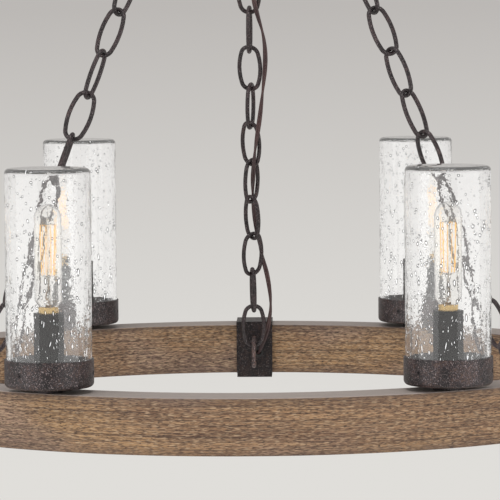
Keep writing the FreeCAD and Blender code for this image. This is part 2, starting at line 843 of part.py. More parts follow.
def linkSolid(run):
    # an oval link in its XZ plane with a sawn seam in the middle of one side
    halfLong = run / 2
    halfWide = float(size("link_width")) / 2 - float(size("link_wire_radius"))
    endRadius = float(size("link_end_radius"))
    endCentre = halfLong - endRadius
    slack = halfWide - endRadius
    sideCentre = (endCentre**2 - slack**2) / (2 * slack)
    sideRadius = halfWide + sideCentre
    reach = math.hypot(sideCentre, endCentre)
    touch = Vector(endRadius * sideCentre / reach, 0, endCentre + endRadius * endCentre / reach)
    seam = float(size("link_seam")) / 2 / sideRadius
    gapTop = Vector(sideRadius * math.cos(seam) - sideCentre, 0, sideRadius * math.sin(seam))
    bend = math.atan2(touch.z, touch.x + sideCentre) / 2
    sideMiddle = Vector(sideRadius * math.cos(bend) - sideCentre, 0, sideRadius * math.sin(bend))

    def mirrored(point, wide, tall):
        return Vector(point.x * wide, 0, point.z * tall)

    edges = [
        Part.Arc(gapTop, sideMiddle, touch),
        Part.Arc(touch, Vector(0, 0, halfLong), mirrored(touch, -1, 1)),
        Part.Arc(mirrored(touch, -1, 1), Vector(-halfWide, 0, 0), mirrored(touch, -1, -1)),
        Part.Arc(mirrored(touch, -1, -1), Vector(0, 0, -halfLong), mirrored(touch, 1, -1)),
        Part.Arc(mirrored(touch, 1, -1), mirrored(sideMiddle, 1, -1), mirrored(gapTop, 1, -1)),
    ]
    path = Part.Wire([arc.toShape() for arc in edges])
    start = Vector(-math.sin(seam), 0, math.cos(seam))
    return solidOf(sweepRound(path, gapTop, start, size("link_wire_radius")))


# How much of the first link's turn each link has, from the first link down to the one square in its staple
twistShares = {
    "back": [1, 1, 1, 1, 1, 1, 0.98, 0.91, 0.93, 0.84, 0.82, 0.58, 0.6, 0.42, 0.36, 0.1, 0.06],
    "right": [1, 0.79, 0.5, 0.18, -0.18, -0.54, -0.9, -1.2, -1.15, -0.6, -0.5, -0.43, -0.32, -0.25, -0.14, -0.07, 0],
    "left": [1, 0.79, 0.58, 0.29, 0, -0.29, -0.58, -0.83, -1.01, -1.48, -1.69, -2.01, -1.65, -1.22, -0.79, -0.36, 0],
}


def twistOf(side, index, topTurn):
    shares = twistShares[side]
    spot = index / max(linkCount - 1, 1) * (len(shares) - 1)
    below = min(int(spot), len(shares) - 2)
    part = spot - below
    return topTurn * (shares[below] * (1 - part) + shares[below + 1] * part)


def linkPlaces(side):
    low, high, direction, wire = chainLine(side)
    pitch = (low.distanceToPoint(high) - bowOverlap) / linkCount
    angle = math.radians(saddleAzimuths[side])
    square = Vector(math.cos(angle), math.sin(angle), 0)
    across = direction.cross(square)
    ringWide = direction.cross(wire)
    # the first link lies square to the gathering ring's wire, turned the shorter way
    topTurn = (math.degrees(math.atan2(ringWide.dot(across), ringWide.dot(square))) + 75) % 180 - 75
    places = []
    for index in range(linkCount):
        quarter = 90 * ((linkCount - 1 - index) % 4)
        turn = math.radians(quarter + twistOf(side, index, topTurn))
        wide = square * math.cos(turn) + across * math.sin(turn)
        centre = high - direction * (bowOverlap / 2 + pitch * (index + 1 / 2))
        places.append(FreeCAD.Placement(centre, FreeCAD.Rotation(wide, direction.cross(wide), direction, "ZXY")))
    return places


def makeChains():
    link = linkSolid(linkRun)
    for side in ("left", "back", "right"):
        keepCopies(f"chain_{side}", link, linkPlaces(side))


def makeTopLink():
    centre = float(topLinkTop + topLinkBottom) / 2
    sideways = FreeCAD.Rotation(up, 90)
    return keepCopies(
        "top_link", linkSolid(float(topLinkRun)), [FreeCAD.Placement(Vector(0, 0, centre), sideways)]
    )


def makeGatheringRing():
    ring = primitive(
        "Part::Torus", "gathering_ring",
        Radius1=size("gathering_ring_radius"), Radius2=size("gathering_wire_radius"),
    )
    upright = FreeCAD.Rotation(Vector(1, 0, 0), 90)
    return keep(ring, FreeCAD.Placement(Vector(0, 0, float(gatheringCentre)), upright))


# Ceiling end
def makeCrossbar():
    long = size("crossbar_length")
    wide = size("crossbar_width")
    thick = size("crossbar_thickness")
    bar = primitive(
        "Part::Box", "crossbar_blank", (-long / 2, -wide / 2, -thick), Length=long, Width=wide, Height=thick
    )
    tall = thick + size("overrun") * 2
    low = -thick - size("overrun")
    thread = primitive(
        "Part::Cylinder", "crossbar_thread", (zero, zero, low),
        Radius=size("pipe_radius") + size("thread_gap"), Height=tall,
    )
    cut = boolean("Part::Cut", "crossbar_threaded", bar, thread)
    for label, sign in (("left", -1), ("right", 1)):
        spot = size("box_screw_spacing") / 2 * sign
        hole = primitive(
            "Part::Cylinder", f"crossbar_hole_{label}", (spot, zero, low),
            Radius=size("box_screw_hole_radius"), Height=tall,
        )
        cut = boolean("Part::Cut", f"crossbar_{label}", cut, hole)
    cut.Label = "ceiling_crossbar"
    return keep(cut)


def makeCanopyNipple():
    body = newBody("canopy_nipple")
    outer = size("pipe_radius")
    bore = size("pipe_bore_radius")
    long = size("canopy_pipe_length")
    spin(body, [(bore, zero), (outer, zero), (outer, long), (bore, long)])
    return keep(body, lift(-long))


def makeLockNut():
    nut = pipeNut("nipple_lock_nut")
    return keep(nut, lift(-size("crossbar_thickness") - size("pipe_nut_thickness")))


def makeCanopy():
    body = newBody("canopy")
    hole = size("loop_stem_radius") + size("slip_gap")
    radius = size("canopy_radius")
    wall = size("canopy_wall")
    tall = size("canopy_height")
    spin(body, [(hole, zero), (radius, zero), (radius, tall), (radius - wall, tall), (radius - wall, wall), (hole, wall)])
    roundEdge(body, radius, zero, size("canopy_edge_radius"))
    roundEdge(body, radius - wall, wall, size("canopy_edge_radius") - wall)
    return keep(body, lift(-size("ceiling_gasket_thickness") - tall))


def makeCanopyGasket():
    body = newBody("canopy_gasket")
    outer = size("canopy_radius")
    inner = outer - size("ceiling_gasket_width")
    tall = size("ceiling_gasket_thickness")
    spin(body, [(inner, zero), (outer, zero), (outer, tall), (inner, tall)])
    return keep(body, lift(-tall))


def makeCollar():
    body = newBody("canopy_collar")
    inner = size("loop_stem_radius") + size("thread_gap")
    outer = size("collar_radius")
    tall = size("collar_height")
    edge = size("collar_edge")
    spin(body, [
        (inner, zero),
        (outer - edge, zero),
        (outer, edge),
        (outer, tall - edge),
        (outer - edge, tall),
        (inner, tall),
    ])
    return keep(body, lift(-size("ceiling_gasket_thickness") - size("canopy_height") - tall))


def makeCanopyLoop():
    stem = primitive(
        "Part::Cylinder", "loop_stem", (zero, zero, stemBottom),
        Radius=size("loop_stem_radius"), Height=size("loop_stem_length"),
    )
    eye = primitive(
        "Part::Torus", "loop_eye", Radius1=size("loop_eye_radius"), Radius2=size("loop_wire_radius")
    )
    eye.Placement = FreeCAD.Placement(
        Vector(0, 0, float(eyeCentre)), FreeCAD.Rotation(Vector(1, 0, 0), 90)
    )
    bind(eye, "Placement.Base.z", eyeCentre)
    blank = boolean("Part::Fuse", "loop_blank", stem, eye)
    wireHole = primitive(
        "Part::Cylinder", "loop_wire_hole", (zero, zero, stemBottom - size("loop_wire_radius") * 2),
        Radius=size("pipe_bore_radius"), Height=size("loop_stem_length"),
    )
    hollow = boolean("Part::Cut", "loop_hollow", blank, wireHole)
    threadHole = primitive(
        "Part::Cylinder", "loop_thread", (zero, zero, -size("canopy_pipe_length") - size("slip_gap")),
        Radius=size("pipe_radius") + size("thread_gap"), Height=size("canopy_pipe_length"),
    )
    return keep(boolean("Part::Cut", "canopy_loop", hollow, threadHole))


# Wires
# the lead's corners, from the ceiling down past the top link to behind the gathering ring
canopyLeadRoute = [
    (0.2, 0.1, 0), (0, 0.2, -17), (0.2, 0, -37), (0, 0, -57), (7, 8.5, -71), (8.6, 11, -94),
    (8.2, 10.2, -120), (8, 9.4, -144),
]
# and on from there, in and out of the back chain, to its end inside the ring
supplyLeadRoute = [
    (8, 9.5, -145), (8, 17, -177.5), (8.1, 26.5, -212), (7.9, 30.6, -240), (8.1, 33.8, -266.4),
    (9.3, 44.1, -300.7), (8.1, 64.3, -336.8), (8.5, 89.2, -364.9), (10.4, 109, -399.2),
    (15, 130.6, -445), (14.5, 149.6, -489.9), (10.1, 162, -530), (8.5, 164.8, -560.5),
    (13.8, 169.8, -585), (22.9, 186.2, -614.1), (25.2, 201.1, -647), (21.1, 216.1, -685.7),
    (16.2, 230.2, -728.7), (10.2, 242.3, -764.2), (7.7, 263.1, -796.4), (6.2, 308.2, -828.7),
    (10.3, 320.8, -869.9), (17.8, 341.3, -912.5), (26.5, 344.5, -941.5), (31.4, 357.3, -981.1),
    (28.4, 373.9, -1008.9), (21.9, 390, -1033.7), (14, 407.8, -1054.9), (14, 434, -1054.9),
    (14.5, 459.5, -1055.4),
]


def cordTube(label, route):
    # each arc is as large as its two runs allow
    points = [Vector(*point) for point in route]
    radii = []
    for before, corner, after in zip(points, points[1:], points[2:]):
        shorter = min(corner.distanceToPoint(before), corner.distanceToPoint(after))
        half = (corner - before).getAngle(after - corner) / 2
        radii.append(0.45 * shorter / math.tan(half))
    path = bentWire(points, radii)
    tube = solidOf(sweepRound(path, points[0], points[1] - points[0], size("lead_radius")))
    wanted = math.pi * float(size("lead_radius")) ** 2 * path.Length
    print(label, "length", round(path.Length, 1), "bend radii", [round(r, 1) for r in radii])
    print(label, "volume over section times length", round(tube.Volume / wanted, 4))
    feature = doc.addObject("Part::Feature", label)
    feature.Label = label
    feature.Shape = tube
    return keep(feature)


def makeGrommet():
    body = newBody("lead_grommet")
    bore = size("lead_radius") + size("slip_gap")
    neck = size("grommet_neck_radius")
    flange = size("grommet_flange_radius")
    thick = size("grommet_flange_thickness")
    long = thick + size("saddle_thickness")
    spin(body, [(bore, zero), (flange, zero), (flange, thick), (neck, thick), (neck, long), (bore, long)])
    outward = FreeCAD.Placement(
        Vector(float(saddleInner - thick), float(backHoleOffset()), float(ringTop - size("lead_hole_drop"))),
        FreeCAD.Rotation(Vector(0, 1, 0), 90),
    )
    return keep(body, atAzimuth(saddleAzimuths["back"], zero, zero).multiply(outward))


def makeRingWiring():
    # one bundle round the groove, with a riser up each nipple and one to the lead
    radius = float(lampCircle)
    harness = Part.makeTorus(radius, float(size("wiring_radius")))
    lampRise = float(holderFloor - wiringHeight - size("slip_gap"))
    leadRise = float(ringTop - size("lead_hole_drop") - wiringHeight)
    risers = [
        Part.makeCylinder(float(size("riser_radius")), lampRise, atAzimuth(a, lampCircle, zero).Base)
        for a in lampAzimuths
    ]
    lead = Vector(float(size("lead_hole_offset")), radius, 0)
    risers.append(Part.makeCylinder(float(size("wiring_radius")), leadRise, lead))
    feature = doc.addObject("Part::Feature", "ring_wiring")
    feature.Label = "ring_wiring"
    feature.Shape = solidOf(harness.fuse(risers))
    return keep(feature, lift(wiringHeight))


makeRingBody()
makeChannelCover()
makeCoverScrews()
for number, (azimuth, turn) in enumerate(zip(lampAzimuths, cupTurns), start=1):
    makeCup(number, azimuth, turn)
    makeShadeGlass(number, azimuth)
    makeBulbBase(number, azimuth)
    makeBulbGlass(number, azimuth)
    makeBulbFilament(number, azimuth)
makeCupSpacers()
makeGlassGaskets()
makeSocketTubes()
makeLampholders()
makeSetScrews()
makeSocketNipples()
makeSocketNuts()
for side, azimuth in saddleAzimuths.items():
    makeSaddle(side, azimuth)
makeStaples()
makeChains()
makeTopLink()
makeGatheringRing()
makeCrossbar()
makeCanopyNipple()
makeLockNut()
makeCanopy()
makeCanopyGasket()
makeCollar()
makeCanopyLoop()
cordTube("canopy_lead", canopyLeadRoute)
cordTube("supply_lead", supplyLeadRoute)
makeGrommet()
makeRingWiring()
doc.recompute()

# Checks, then one STEP file for each sub-part
for item in doc.Objects:
    if "Invalid" in item.State or "Error" in item.State:
        raise RuntimeError(f"{item.Name} failed: {item.State}")
broken = [item.Label for item in subParts if item.Shape.isNull() or not item.Shape.isValid()]
if broken:
    raise RuntimeError(f"no valid shape: {broken}")
for item in subParts:
    item.Shape.exportStep(f"parts/{item.Label}.step")
print("links in each chain", linkCount, "link length", round(linkRun + 2 * float(size("link_wire_radius")), 2))
print("ring top", round(float(ringTop), 2), "nodes", len(subParts))
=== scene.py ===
import bpy, bmesh
import math
from mathutils import Matrix, Vector


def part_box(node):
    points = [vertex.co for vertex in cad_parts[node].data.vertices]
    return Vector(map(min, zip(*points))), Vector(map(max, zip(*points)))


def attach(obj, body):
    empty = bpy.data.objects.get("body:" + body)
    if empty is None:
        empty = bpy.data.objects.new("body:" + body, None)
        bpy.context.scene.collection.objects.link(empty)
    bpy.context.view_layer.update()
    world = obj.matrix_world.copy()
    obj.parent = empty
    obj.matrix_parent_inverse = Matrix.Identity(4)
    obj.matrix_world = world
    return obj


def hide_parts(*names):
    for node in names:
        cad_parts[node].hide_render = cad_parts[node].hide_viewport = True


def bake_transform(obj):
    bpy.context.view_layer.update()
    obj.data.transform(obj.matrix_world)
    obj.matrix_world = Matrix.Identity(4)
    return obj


# Outdoor ring chandelier: wood ring, rusted steel, seeded glass and filament bulbs
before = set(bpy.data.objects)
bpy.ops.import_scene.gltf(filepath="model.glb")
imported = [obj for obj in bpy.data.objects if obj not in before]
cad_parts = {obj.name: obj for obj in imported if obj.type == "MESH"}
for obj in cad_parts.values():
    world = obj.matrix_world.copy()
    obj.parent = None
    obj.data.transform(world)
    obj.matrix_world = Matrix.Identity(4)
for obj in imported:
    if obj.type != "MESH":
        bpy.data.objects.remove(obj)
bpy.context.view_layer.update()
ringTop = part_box("ring_body")[1][2]
lampNumbers = range(1, 7)
print("frame loaded, ring top at", round(ringTop, 4))


# Small tools
def addObject(name, data):
    holder = bpy.data.objects.new(name, data)
    bpy.context.collection.objects.link(holder)
    return holder


def addPiece(name, mesh, body, material=None, replaces=()):
    piece = addObject(name, mesh)
    for face in mesh.polygons:
        face.use_smooth = True
    if material is not None:
        mesh.materials.clear()
        mesh.materials.append(material)
    if body:
        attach(piece, body)
    if replaces:
        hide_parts(*replaces)
    return piece


def plainMesh(holder):
    # the object's evaluated shape, as a mesh of its own
    bpy.context.view_layer.update()
    return bpy.data.meshes.new_from_object(holder.evaluated_get(bpy.context.evaluated_depsgraph_get()))


def meshFrom(build, name):
    bmesh.ops.recalc_face_normals(build, faces=build.faces)
    mesh = bpy.data.meshes.new(name)
    build.to_mesh(mesh)
    build.free()
    return mesh


def boxMiddle(node):
    # the middle of a node's foot, and its height
    low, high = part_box(node)
    return ((low[0] + high[0]) / 2, (low[1] + high[1]) / 2, low[2]), high[2] - low[2]


def turns(count):
    # equal angles round a full circle
    return [2 * math.pi * i / count for i in range(count)]


def joinRings(build, rings, closed=False):
    # bridges rows of corners; a row of one corner is a pole
    pairs = list(zip(rings, rings[1:])) + ([(rings[-1], rings[0])] if closed else [])
    for low, high in pairs:
        count = max(len(low), len(high))
        for i in range(count):
            j = (i + 1) % count
            if len(low) == 1:
                build.faces.new((low[0], high[j], high[i]))
            elif len(high) == 1:
                build.faces.new((low[i], low[j], high[0]))
            else:
                build.faces.new((low[i], low[j], high[j], high[i]))


def capEnds(build, rings):
    build.faces.new(rings[0][::-1])
    build.faces.new(rings[-1])


def lathe(name, profile, centre, steps):
    # turns a profile of (radius, height) round a vertical axis through centre
    build = bmesh.new()
    rings = []
    for radius, height in profile:
        rings.append([
            build.verts.new((centre[0] + radius * math.cos(angle), centre[1] + radius * math.sin(angle),
                             centre[2] + height))
            for angle in (turns(steps) if radius else [0])])
    joinRings(build, rings, closed=bool(profile[0][0] and profile[-1][0]))
    return meshFrom(build, name)


def arcPoints(centreRadius, centreHeight, radius, start, end, steps):
    # points of a fillet in a profile, angles in degrees
    points = []
    for i in range(steps + 1):
        angle = math.radians(start + (end - start) * i / steps)
        points.append((centreRadius + radius * math.cos(angle), centreHeight + radius * math.sin(angle)))
    return points


def frameAt(points, i, normal):
    # the line's direction at a point, and the last normal turned square to it
    along = (points[min(i + 1, len(points) - 1)] - points[max(i - 1, 0)]).normalized()
    if normal is None:
        normal = along.orthogonal().normalized()
    return along, (normal - along * normal.dot(along)).normalized()


def sweepWire(build, points, radius, sides):
    # a round wire along a row of points, kept from twisting
    normal = None
    rings = []
    for i, point in enumerate(points):
        along, normal = frameAt(points, i, normal)
        across = along.cross(normal)
        rings.append([build.verts.new(point + (normal * math.cos(angle) + across * math.sin(angle)) * radius)
                      for angle in turns(sides)])
    joinRings(build, rings)
    capEnds(build, rings)


# Camera, fitted to the photograph
camera = dict(distance=4.573, rise=0.4648, pitch=0.0721, roll=-0.0068, sensor=36, focal=3614.3 / 500 * 36,
              shift=0.00398, farthest=100)


def addCamera():
    lens = bpy.data.cameras.new("camera")
    lens.sensor_width = camera["sensor"]
    lens.lens = camera["focal"]
    lens.shift_x = camera["shift"]
    lens.clip_end = camera["farthest"]
    eye = addObject("camera", lens)
    pitch, roll = camera["pitch"], camera["roll"]
    forward = Vector((0, math.cos(pitch), -math.sin(pitch)))
    level = Vector((0, math.sin(pitch), math.cos(pitch)))
    side = Vector((1, 0, 0))
    right = side * math.cos(roll) + level * math.sin(roll)
    top = level * math.cos(roll) - side * math.sin(roll)
    turn = Matrix((right, top, -forward)).transposed().to_4x4()
    eye.matrix_world = Matrix.Translation((0, -camera["distance"], ringTop + camera["rise"])) @ turn
    bpy.context.scene.camera = eye


addCamera()
scene = bpy.context.scene
scene.view_settings.view_transform = "Standard"
glassBounces = 32  # enough to see through two shades, a bulb and their seeds
scene.cycles.max_bounces = glassBounces
scene.cycles.transmission_bounces = glassBounces
scene.cycles.transparent_max_bounces = glassBounces


# Node trees: operators on a socket add the Math nodes
class Link:
    def __init__(self, tree, socket):
        self.tree = tree
        self.socket = socket

    def out(self, title):
        # another output of the same node
        return Link(self.tree, self.socket.node.outputs[title])

    def __add__(self, other):
        return self.tree.maths("ADD", self, other)

    def __radd__(self, other):
        return self.tree.maths("ADD", other, self)

    def __sub__(self, other):
        return self.tree.maths("SUBTRACT", self, other)

    def __rsub__(self, other):
        return self.tree.maths("SUBTRACT", other, self)

    def __mul__(self, other):
        return self.tree.maths("MULTIPLY", self, other)

    def __rmul__(self, other):
        return self.tree.maths("MULTIPLY", other, self)

    def __truediv__(self, other):
        return self.tree.maths("DIVIDE", self, other)

    def __rtruediv__(self, other):
        return self.tree.maths("DIVIDE", other, self)

    def __pow__(self, other):
        return self.tree.maths("POWER", self, other)

    def __rpow__(self, other):
        return self.tree.maths("POWER", other, self)


class Tree:
    # a node tree with one way to add a node
    def __init__(self, nodeTree):
        self.nodes = nodeTree.nodes
        self.links = nodeTree.links

    def add(self, kind, settings=None, values=None, output=0):
        node = self.nodes.new(kind)
        for key, value in (settings or {}).items():
            if key == "stops":
                ramp = node.color_ramp
                while len(ramp.elements) < len(value):
                    ramp.elements.new(0.5)
                for element, (spot, colour) in zip(ramp.elements, value):
                    element.position = spot
                    element.color = (*colour, 1)
            else:
                setattr(node, key, value)
        for key, value in (values or {}).items():
            self.feed(node.inputs[key], value)
        return Link(self, node.outputs[output]) if len(node.outputs) else None

    def feed(self, socket, value):
        if isinstance(value, Link):
            self.links.new(value.socket, socket)
        elif isinstance(value, tuple) and len(value) == 3 and socket.type == "RGBA":
            socket.default_value = (*value, 1)
        else:
            socket.default_value = value

    def maths(self, kind, first, second):
        return self.add("ShaderNodeMath", {"operation": kind}, {0: first, 1: second})

    def mask(self, factor, low, high):
        # 0 below low, 1 above high
        return self.add("ShaderNodeMapRange", {"clamp": True}, {
            "Value": factor, "From Min": low, "From Max": high, "To Min": 0.0, "To Max": 1.0})

    def mix(self, factor, first, second):
        return self.add("ShaderNodeMix", {"data_type": "RGBA"}, {0: factor, 6: first, 7: second}, 2)

    def parts(self, vector):
        x = self.add("ShaderNodeSeparateXYZ", None, {0: vector})
        return x, x.out("Y"), x.out("Z")

    def vector(self, x, y, z):
        return self.add("ShaderNodeCombineXYZ", None, {"X": x, "Y": y, "Z": z})

    def seenRays(self):
        # 1 on what the camera, metal and glass see
        ray = self.add("ShaderNodeLightPath")
        mirrored = self.maths("MAXIMUM", ray.out("Is Camera Ray"), ray.out("Is Glossy Ray"))
        return self.maths("MAXIMUM", mirrored, ray.out("Is Transmission Ray"))


class Finish(Tree):
    # a material's tree and its shader
    def __init__(self, name):
        self.material = bpy.data.materials.new(name)
        self.material.use_nodes = True
        super().__init__(self.material.node_tree)
        self.shader = self.nodes["Principled BSDF"]

    def place(self):
        return self.add("ShaderNodeTexCoord").out("Object")

    def facing(self):
        # 0 where the surface faces the eye, 1 edge on
        return self.add("ShaderNodeLayerWeight", None, {"Blend": 0.5}).out("Facing")

    def noise(self, where, scale, detail, rough, distortion=0.0):
        return self.add("ShaderNodeTexNoise", None, {
            "Vector": where, "Scale": scale, "Detail": detail, "Roughness": rough, "Distortion": distortion})

    def ramp(self, factor, stops):
        return self.add("ShaderNodeValToRGB", {"stops": stops}, {"Fac": factor})

    def bump(self, height, strength, distance):
        return self.add("ShaderNodeBump", None, {
            "Height": height, "Strength": strength, "Distance": distance})

    def set(self, **values):
        for key, value in values.items():
            self.feed(self.shader.inputs[key.replace("_", " ")], value)
        return self.material


# Wood: grain runs round the ring, between warm, golden and plum grey patches
woodLook = dict(
    ringRadius=0.455, patches=5.5, paintedSheenShare=0.7,
    tones=[(0.28, (0.205, 0.114, 0.064)), (0.46, (0.295, 0.170, 0.092)),
           (0.58, (0.365, 0.214, 0.112)), (0.74, (0.275, 0.164, 0.098))],
    # a noise's squeeze along the grain, shift, scale, detail, roughness and distortion
    noises=dict(grain=(0.012, 0.0, 330.0, 2.0, 0.55, 0.0), lines=(0.012, 5.0, 363.0, 2.0, 0.6, 0.0),
                fibres=(0.03, 3.0, 495.0, 2.0, 0.6, 0.0), specks=(0.16, 0.0, 1100.0, 1.0, 0.5, 0.0),
                pores=(0.22, 2.0, 715.0, 1.0, 0.5, 0.0), pale=(0.12, 7.0, 935.0, 1.0, 0.5, 0.0),
                bands=(0.06, 0.0, 60.0, 3.0, 0.55, 0.3)),
    # a mark grows between two levels of its noise and takes a share of a colour
    marks=[("patches", 0.47, 0.66, 0.55, (0.46, 0.275, 0.120)),
           ("cool", 0.48, 0.66, 0.55, (0.31, 0.215, 0.175)),
           ("fibres", 0.50, 0.62, 0.40, (0.44, 0.29, 0.165)),
           ("grain", 0.50, 0.64, 0.50, (0.080, 0.046, 0.034)),
           ("lines", 0.54, 0.60, 0.55, (0.055, 0.031, 0.024)),
           ("specks", 0.46, 0.60, 0.70, (0.055, 0.031, 0.024)),
           ("pores", 0.62, 0.68, 0.85, (0.024, 0.014, 0.012)),
           ("pale", 0.54, 0.66, 0.50, (0.60, 0.43, 0.27))],
    # the edge colour and its share paint shade along the top and bottom edges; the upper face's grey is a
    # painted sheen
    edge=(0.075, 0.050, 0.043), edgeShadeShare=0.52, edgeShadeStart=0.021, halfHeight=0.034,
    paintedTopSheen=(0.44, 0.39, 0.365), topDepth=0.0012, topSkin=0.0002, relief=0.0012)


def makeWood():
    look = woodLook
    f = Finish("weathered_wood")
    x, y, z = f.parts(f.place())
    radius = (x * x + y * y) ** 0.5
    along = f.maths("ARCTAN2", x, y * -1.0) * look["ringRadius"]
    noises = {
        name: f.noise(f.vector(along * squeeze, radius, z + shift), scale, detail, rough, distortion)
        for name, (squeeze, shift, scale, detail, rough, distortion) in look["noises"].items()}
    noises["patches"] = f.noise(f.vector(along, radius * 2.0, z * 3.0), look["patches"], 2.0, 0.5)
    noises["cool"] = f.noise(f.vector(along + 5.0, radius, z * 2.0), look["patches"] * 1.3, 2.0, 0.5)
    colour = f.ramp(noises["bands"], look["tones"])
    for name, low, high, share, tint in look["marks"]:
        colour = f.mix(f.mask(noises[name], low, high) * share, colour, tint)
    # painted shade darkens bands along the top and bottom edges, and a painted sheen makes the upper face paler
    # and greyer
    fromMiddle = z - (ringTop - look["halfHeight"])
    offMiddle = (fromMiddle * fromMiddle) ** 0.5
    # painted shade: the colour darkens towards the top and bottom edges
    edge = f.mask(offMiddle, look["edgeShadeStart"], look["halfHeight"])
    colour = f.mix(edge * look["edgeShadeShare"], colour, look["edge"])
    # painted sheen: the upper face is mixed towards a paler grey
    top = f.mask(z, ringTop - look["topDepth"], ringTop - look["topSkin"])
    colour = f.mix(top * look["paintedSheenShare"], colour, look["paintedTopSheen"])
    grain = noises["grain"]
    height = grain * -0.8 + noises["lines"] * -0.4 + noises["specks"] * -0.5 + noises["fibres"] * 0.3
    return f.set(Base_Color=colour, Specular_IOR_Level=0.35, Roughness=f.mask(grain, 0.3, 0.8) * 0.2 + 0.56,
                 Normal=f.bump(height, 0.6, look["relief"]))


# Rusted steel: light scales the colours, and a larger scale makes the pattern finer
steelLook = dict(dark=(0.016, 0.012, 0.013), plum=(0.052, 0.033, 0.037), rust=(0.125, 0.068, 0.048),
                 fleck=(0.44, 0.36, 0.36), cloud=42.0, grit=360.0, pits=620.0, flecks=680.0, pitLight=0.35,
                 metallic=0.25, relief=0.0008)
steelKinds = {
    "chain_rusted_steel": dict(rustShare=0.03, light=0.80, scale=1.3, rough=0.42, fleckShare=0.6),
    "cup_rusted_steel": dict(rustShare=0.12, light=0.68, scale=1.1, rough=0.44, fleckShare=1.0),
    "saddle_rusted_steel": dict(rustShare=0.12, light=0.32, scale=0.8, rough=0.40, fleckShare=0.8,
                                mirror=0.4),
    "staple_rusted_steel": dict(rustShare=0.20, light=1.25, scale=1.3, rough=0.42, fleckShare=0.6),
    "spacer_dark_steel": dict(rustShare=0.0, light=0.5, scale=1.0, rough=0.6),
    "socket_tube_steel": dict(rustShare=0.0, light=0.25, scale=1.6, rough=0.75, fleckShare=0.15, mirror=0.1),
    "canopy_rusted_steel": dict(rustShare=0.14, light=1.1, scale=0.9, rough=0.55),
}


def makeRustedSteel(name, rustShare, light, scale, rough, fleckShare=0.5, mirror=0.5):
    look = steelLook
    f = Finish(name)
    where = f.place()
    cloud = f.noise(where, look["cloud"] * scale, 4.0, 0.6)
    grit = f.noise(where, look["grit"] * scale, 3.0, 0.65)
    pits = f.noise(where, look["pits"] * scale, 2.0, 0.6)
    flecks = f.noise(where, look["flecks"] * scale, 2.0, 0.7, 0.4)
    dark, plum, rust, fleck = (
        tuple(c * light for c in look[key]) for key in ("dark", "plum", "rust", "fleck"))
    base = f.mix(f.mask(cloud + (grit - 0.5) * 0.5, 0.36, 0.62), dark, plum)
    mottled = f.mix(f.mask(grit + cloud * 0.6, 0.92 - rustShare, 1.12 - rustShare) * 0.8, base, rust)
    pitted = f.mix(f.mask(pits, 0.52, 0.62) * 0.8, mottled, tuple(c * look["pitLight"] for c in dark))
    bright = f.mix(f.mask(flecks, 0.58, 0.67) * fleckShare, pitted, fleck)
    return f.set(Base_Color=bright, Metallic=look["metallic"], Specular_IOR_Level=mirror,
                 Roughness=f.mask(grit, 0.3, 0.7) * 0.22 + rough - 0.08,
                 Normal=f.bump(grit * 0.6 + pits * 0.5, 0.45, look["relief"]))


# Glass: clear walls, seeds in them, and the bulbs' thin envelopes
glassLook = dict(
    clear=(1.0, 1.0, 1.0), black=(0.0, 0.0, 0.0), bend=1.45, paintedGlowColour=(1.0, 0.99, 0.97), swell=30.0,
    ripple=140.0, waveDepth=0.002, seedBend=1.04, seedPaintedRim=(0.015, 0.015, 0.018), seedGlint=0.5)
bulb = dict(radius=0.016, wall=0.0009, neck=0.0108, neckHeight=0.015, taper=0.0055, height=0.1333,
            cageRadius=0.0093, cageFoot=0.051, cageLength=0.058, footShare=0.82, cageWires=10, wire=0.00032,
            stemRadius=0.0036, sides=64, stemSides=24, wireSides=6, domeStart=84, domeSteps=14)
bulbLook = dict(glow=0.85, paintedHaze=0.020, paintedHazeColour=(1.0, 0.86, 0.52), clear=(1.0, 0.995, 0.985),
                rim=(0.12, 0.12, 0.13), dull=(0.80, 0.40, 0.05), bright=(0.96, 0.56, 0.12),
                wire=(0.9, 0.45, 0.12), paintedHazeFade=((-0.012, 0.010), (-0.006, 0.008)))


def makeGlass(name, tint, rough=0.0, waves=0.0, paintedGlow=0.0, mirror=0.5, edge=0.0):
    # the glow argument paints an even glow on the wall, an emission standing in for light from the lit bulb;
    # the edge argument paints a dark outline, the tint seen edge on
    f = Finish(name)
    values = dict(Base_Color=tint, Roughness=rough, IOR=glassLook["bend"], Transmission_Weight=1.0,
                  Specular_IOR_Level=mirror)
    # painted shade: a darker tint on the glass seen edge on draws its outline
    if edge:
        values["Base_Color"] = f.mix(f.mask(f.facing(), 0.82, 0.98), tint, (edge, edge, edge))
    # painted glow: an even emission over the glass wall
    if paintedGlow:
        values.update(Emission_Color=glassLook["paintedGlowColour"], Emission_Strength=paintedGlow)
        f.material.cycles.emission_sampling = "NONE"
    if waves:
        where = f.place()
        swell = f.noise(where, glassLook["swell"], 2.0, 0.5)
        ripple = f.noise(where, glassLook["ripple"], 2.0, 0.5)
        values["Normal"] = f.bump(swell + ripple * 0.25, waves, glassLook["waveDepth"])
    return f.set(**values)


def makeSeedGlass():
    # each bubble is painted with a dark rim, a painted shade, round a painted glint, an emission in its middle
    f = Finish("glass_seed")
    facing = f.facing()
    rim = f.mix(f.mask(facing, 0.10, 0.28), glassLook["clear"], glassLook["seedPaintedRim"])
    glint = f.mix(f.mask(facing, 0.02, 0.12), glassLook["clear"], glassLook["black"])
    f.material.cycles.emission_sampling = "NONE"
    return f.set(Base_Color=rim, Roughness=0.0, IOR=glassLook["seedBend"], Transmission_Weight=1.0,
                 Emission_Color=glint, Emission_Strength=glassLook["seedGlint"])


